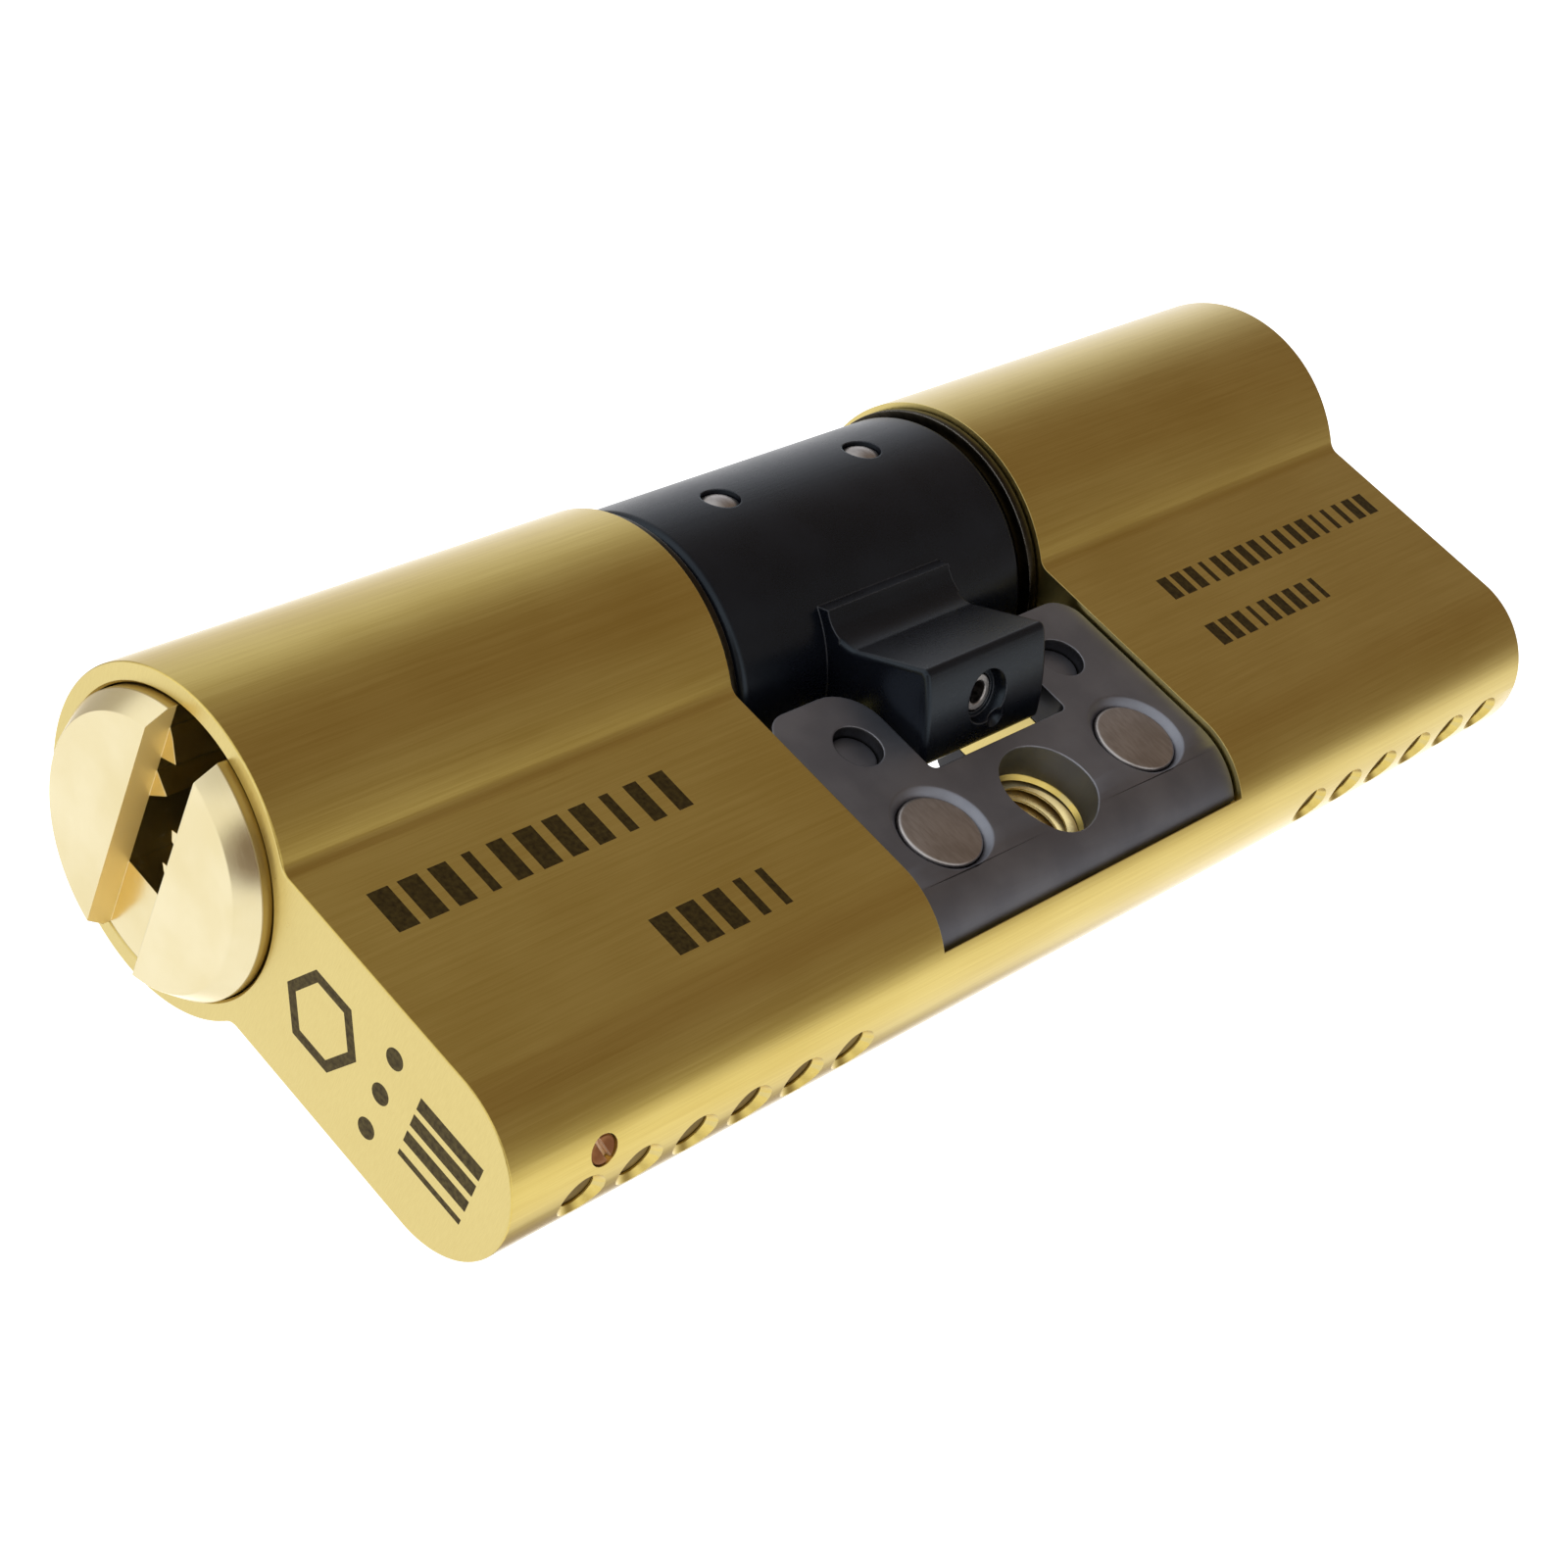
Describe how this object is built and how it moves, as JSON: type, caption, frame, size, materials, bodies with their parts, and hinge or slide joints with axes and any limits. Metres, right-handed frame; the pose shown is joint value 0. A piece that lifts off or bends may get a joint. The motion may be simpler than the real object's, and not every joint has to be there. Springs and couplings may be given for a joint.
{
  "type": "euro cylinder",
  "caption": "Double euro-profile lock cylinder: brass body with steel bridge plates, keyed plugs at both ends, pin stacks, a sliding clutch and a central lobed cam.",
  "frame": {"origin": "on the plug axis, midway along the cam", "axes": "+X along the plugs towards the internal end, +Z from the lug towards the round head, the pictured side faces -Y"},
  "size_m": [0.083, 0.017, 0.033],
  "materials": {
    "body_brass": "satin, brushed lengthwise",
    "plug_brass": "polished, turned bevel",
    "pin_brass": "machined",
    "black_steel": "black oxide, satin",
    "plate_steel": "hardened steel, dark satin",
    "bright_steel": "ground",
    "spring_steel": "oiled spring steel",
    "copper": "copper-plated, satin"
  },
  "bodies": {
    "housing": {"cylinder_body": "body_brass", "plate_front": "plate_steel", "plate_back": "plate_steel", "bridge_rivet_external": "bright_steel", "bridge_rivet_internal": "bright_steel", "plate_pin_external": "bright_steel", "plate_pin_internal": "bright_steel", "lug_screw": "copper", "body_drill_pin": "spring_steel", "chamber_plug_e1": "pin_brass", "chamber_plug_e2": "pin_brass", "chamber_plug_e3": "pin_brass", "chamber_plug_e4": "pin_brass", "chamber_plug_e5": "pin_brass", "chamber_plug_e6": "pin_brass", "chamber_plug_i1": "pin_brass", "chamber_plug_i2": "pin_brass", "chamber_plug_i3": "pin_brass", "chamber_plug_i4": "pin_brass", "chamber_plug_i5": "pin_brass", "chamber_plug_i6": "pin_brass"},
    "plug_external": {"plug_external": "plug_brass", "plug_drill_pin_left": "spring_steel", "plug_drill_pin_right": "spring_steel", "circlip_external": "spring_steel"},
    "plug_internal": {"plug_internal": "plug_brass", "circlip_internal": "spring_steel"},
    "cam": {"cam": "black_steel", "cam_sleeve": "spring_steel", "cam_pin_external": "bright_steel", "cam_pin_internal": "bright_steel", "cam_lobe_pin": "bright_steel"},
    "clutch": {"clutch_blade": "bright_steel"},
    "key_pin_e1": {"key_pin_e1": "pin_brass"},
    "driver_pin_e1": {"driver_pin_e1": "bright_steel"},
    "key_pin_e2": {"key_pin_e2": "pin_brass"},
    "driver_pin_e2": {"driver_pin_e2": "bright_steel"},
    "key_pin_e3": {"key_pin_e3": "pin_brass"},
    "driver_pin_e3": {"driver_pin_e3": "bright_steel"},
    "key_pin_e4": {"key_pin_e4": "pin_brass"},
    "driver_pin_e4": {"driver_pin_e4": "bright_steel"},
    "key_pin_e5": {"key_pin_e5": "pin_brass"},
    "driver_pin_e5": {"driver_pin_e5": "bright_steel"},
    "key_pin_e6": {"key_pin_e6": "pin_brass"},
    "driver_pin_e6": {"driver_pin_e6": "bright_steel"},
    "key_pin_i1": {"key_pin_i1": "pin_brass"},
    "driver_pin_i1": {"driver_pin_i1": "bright_steel"},
    "key_pin_i2": {"key_pin_i2": "pin_brass"},
    "driver_pin_i2": {"driver_pin_i2": "bright_steel"},
    "key_pin_i3": {"key_pin_i3": "pin_brass"},
    "driver_pin_i3": {"driver_pin_i3": "bright_steel"},
    "key_pin_i4": {"key_pin_i4": "pin_brass"},
    "driver_pin_i4": {"driver_pin_i4": "bright_steel"},
    "key_pin_i5": {"key_pin_i5": "pin_brass"},
    "driver_pin_i5": {"driver_pin_i5": "bright_steel"},
    "key_pin_i6": {"key_pin_i6": "pin_brass"},
    "driver_pin_i6": {"driver_pin_i6": "bright_steel"}
  },
  "joints": [
    {"name": "plug_external_turn", "type": "hinge", "parent": "housing", "child": "plug_external", "pos_m": [-0.04, 0, 0], "axis": [1, 0, 0], "continuous": true},
    {"name": "plug_internal_turn", "type": "hinge", "parent": "housing", "child": "plug_internal", "pos_m": [0.04, 0, 0], "axis": [1, 0, 0], "continuous": true},
    {"name": "cam_turn", "type": "hinge", "parent": "housing", "child": "cam", "pos_m": [0, 0, 0], "axis": [1, 0, 0], "continuous": true},
    {"name": "clutch_slide", "type": "slide", "parent": "cam", "child": "clutch", "axis": [1, 0, 0], "range_m": [0, 0.0039]},
    {"name": "key_pin_e1_rise", "type": "slide", "parent": "plug_external", "child": "key_pin_e1", "axis": [0, 0, 1], "range_m": [0, 0.0012]},
    {"name": "driver_pin_e1_press", "type": "slide", "parent": "housing", "child": "driver_pin_e1", "axis": [0, 0, -1], "range_m": [0, 0.003], "stiffness_N_per_m": 200},
    {"name": "key_pin_e2_rise", "type": "slide", "parent": "plug_external", "child": "key_pin_e2", "axis": [0, 0, 1], "range_m": [0, 0.0018]},
    {"name": "driver_pin_e2_press", "type": "slide", "parent": "housing", "child": "driver_pin_e2", "axis": [0, 0, -1], "range_m": [0, 0.003], "stiffness_N_per_m": 200},
    {"name": "key_pin_e3_rise", "type": "slide", "parent": "plug_external", "child": "key_pin_e3", "axis": [0, 0, 1], "range_m": [0, 0.0015]},
    {"name": "driver_pin_e3_press", "type": "slide", "parent": "housing", "child": "driver_pin_e3", "axis": [0, 0, -1], "range_m": [0, 0.003], "stiffness_N_per_m": 200},
    {"name": "key_pin_e4_rise", "type": "slide", "parent": "plug_external", "child": "key_pin_e4", "axis": [0, 0, 1], "range_m": [0, 0.0009]},
    {"name": "driver_pin_e4_press", "type": "slide", "parent": "housing", "child": "driver_pin_e4", "axis": [0, 0, -1], "range_m": [0, 0.003], "stiffness_N_per_m": 200},
    {"name": "key_pin_e5_rise", "type": "slide", "parent": "plug_external", "child": "key_pin_e5", "axis": [0, 0, 1], "range_m": [0, 0.0015]},
    {"name": "driver_pin_e5_press", "type": "slide", "parent": "housing", "child": "driver_pin_e5", "axis": [0, 0, -1], "range_m": [0, 0.003], "stiffness_N_per_m": 200},
    {"name": "key_pin_e6_rise", "type": "slide", "parent": "plug_external", "child": "key_pin_e6", "axis": [0, 0, 1], "range_m": [0, 0.0018]},
    {"name": "driver_pin_e6_press", "type": "slide", "parent": "housing", "child": "driver_pin_e6", "axis": [0, 0, -1], "range_m": [0, 0.003], "stiffness_N_per_m": 200},
    {"name": "key_pin_i1_rise", "type": "slide", "parent": "plug_internal", "child": "key_pin_i1", "axis": [0, 0, 1], "range_m": [0, 0.0012]},
    {"name": "driver_pin_i1_press", "type": "slide", "parent": "housing", "child": "driver_pin_i1", "axis": [0, 0, -1], "range_m": [0, 0.003], "stiffness_N_per_m": 200},
    {"name": "key_pin_i2_rise", "type": "slide", "parent": "plug_internal", "child": "key_pin_i2", "axis": [0, 0, 1], "range_m": [0, 0.0018]},
    {"name": "driver_pin_i2_press", "type": "slide", "parent": "housing", "child": "driver_pin_i2", "axis": [0, 0, -1], "range_m": [0, 0.003], "stiffness_N_per_m": 200},
    {"name": "key_pin_i3_rise", "type": "slide", "parent": "plug_internal", "child": "key_pin_i3", "axis": [0, 0, 1], "range_m": [0, 0.0015]},
    {"name": "driver_pin_i3_press", "type": "slide", "parent": "housing", "child": "driver_pin_i3", "axis": [0, 0, -1], "range_m": [0, 0.003], "stiffness_N_per_m": 200},
    {"name": "key_pin_i4_rise", "type": "slide", "parent": "plug_internal", "child": "key_pin_i4", "axis": [0, 0, 1], "range_m": [0, 0.0009]},
    {"name": "driver_pin_i4_press", "type": "slide", "parent": "housing", "child": "driver_pin_i4", "axis": [0, 0, -1], "range_m": [0, 0.003], "stiffness_N_per_m": 200},
    {"name": "key_pin_i5_rise", "type": "slide", "parent": "plug_internal", "child": "key_pin_i5", "axis": [0, 0, 1], "range_m": [0, 0.0015]},
    {"name": "driver_pin_i5_press", "type": "slide", "parent": "housing", "child": "driver_pin_i5", "axis": [0, 0, -1], "range_m": [0, 0.003], "stiffness_N_per_m": 200},
    {"name": "key_pin_i6_rise", "type": "slide", "parent": "plug_internal", "child": "key_pin_i6", "axis": [0, 0, 1], "range_m": [0, 0.0018]},
    {"name": "driver_pin_i6_press", "type": "slide", "parent": "housing", "child": "driver_pin_i6", "axis": [0, 0, -1], "range_m": [0, 0.003], "stiffness_N_per_m": 200}
  ],
  "couplings": [
    {"joint": "cam_turn", "follows": "plug_external_turn", "ratio": 1},
    {"joint": "key_pin_e2_rise", "follows": "key_pin_e1_rise", "ratio": 1.5},
    {"joint": "driver_pin_e2_press", "follows": "driver_pin_e1_press", "ratio": 1},
    {"joint": "key_pin_e3_rise", "follows": "key_pin_e1_rise", "ratio": 1.25},
    {"joint": "driver_pin_e3_press", "follows": "driver_pin_e1_press", "ratio": 1},
    {"joint": "key_pin_e4_rise", "follows": "key_pin_e1_rise", "ratio": 0.75},
    {"joint": "driver_pin_e4_press", "follows": "driver_pin_e1_press", "ratio": 1},
    {"joint": "key_pin_e5_rise", "follows": "key_pin_e1_rise", "ratio": 1.25},
    {"joint": "driver_pin_e5_press", "follows": "driver_pin_e1_press", "ratio": 1},
    {"joint": "key_pin_e6_rise", "follows": "key_pin_e1_rise", "ratio": 1.5},
    {"joint": "driver_pin_e6_press", "follows": "driver_pin_e1_press", "ratio": 1},
    {"joint": "key_pin_i2_rise", "follows": "key_pin_i1_rise", "ratio": 1.5},
    {"joint": "driver_pin_i2_press", "follows": "driver_pin_i1_press", "ratio": 1},
    {"joint": "key_pin_i3_rise", "follows": "key_pin_i1_rise", "ratio": 1.25},
    {"joint": "driver_pin_i3_press", "follows": "driver_pin_i1_press", "ratio": 1},
    {"joint": "key_pin_i4_rise", "follows": "key_pin_i1_rise", "ratio": 0.75},
    {"joint": "driver_pin_i4_press", "follows": "driver_pin_i1_press", "ratio": 1},
    {"joint": "key_pin_i5_rise", "follows": "key_pin_i1_rise", "ratio": 1.25},
    {"joint": "driver_pin_i5_press", "follows": "driver_pin_i1_press", "ratio": 1},
    {"joint": "key_pin_i6_rise", "follows": "key_pin_i1_rise", "ratio": 1.5},
    {"joint": "driver_pin_i6_press", "follows": "driver_pin_i1_press", "ratio": 1}
  ]
}
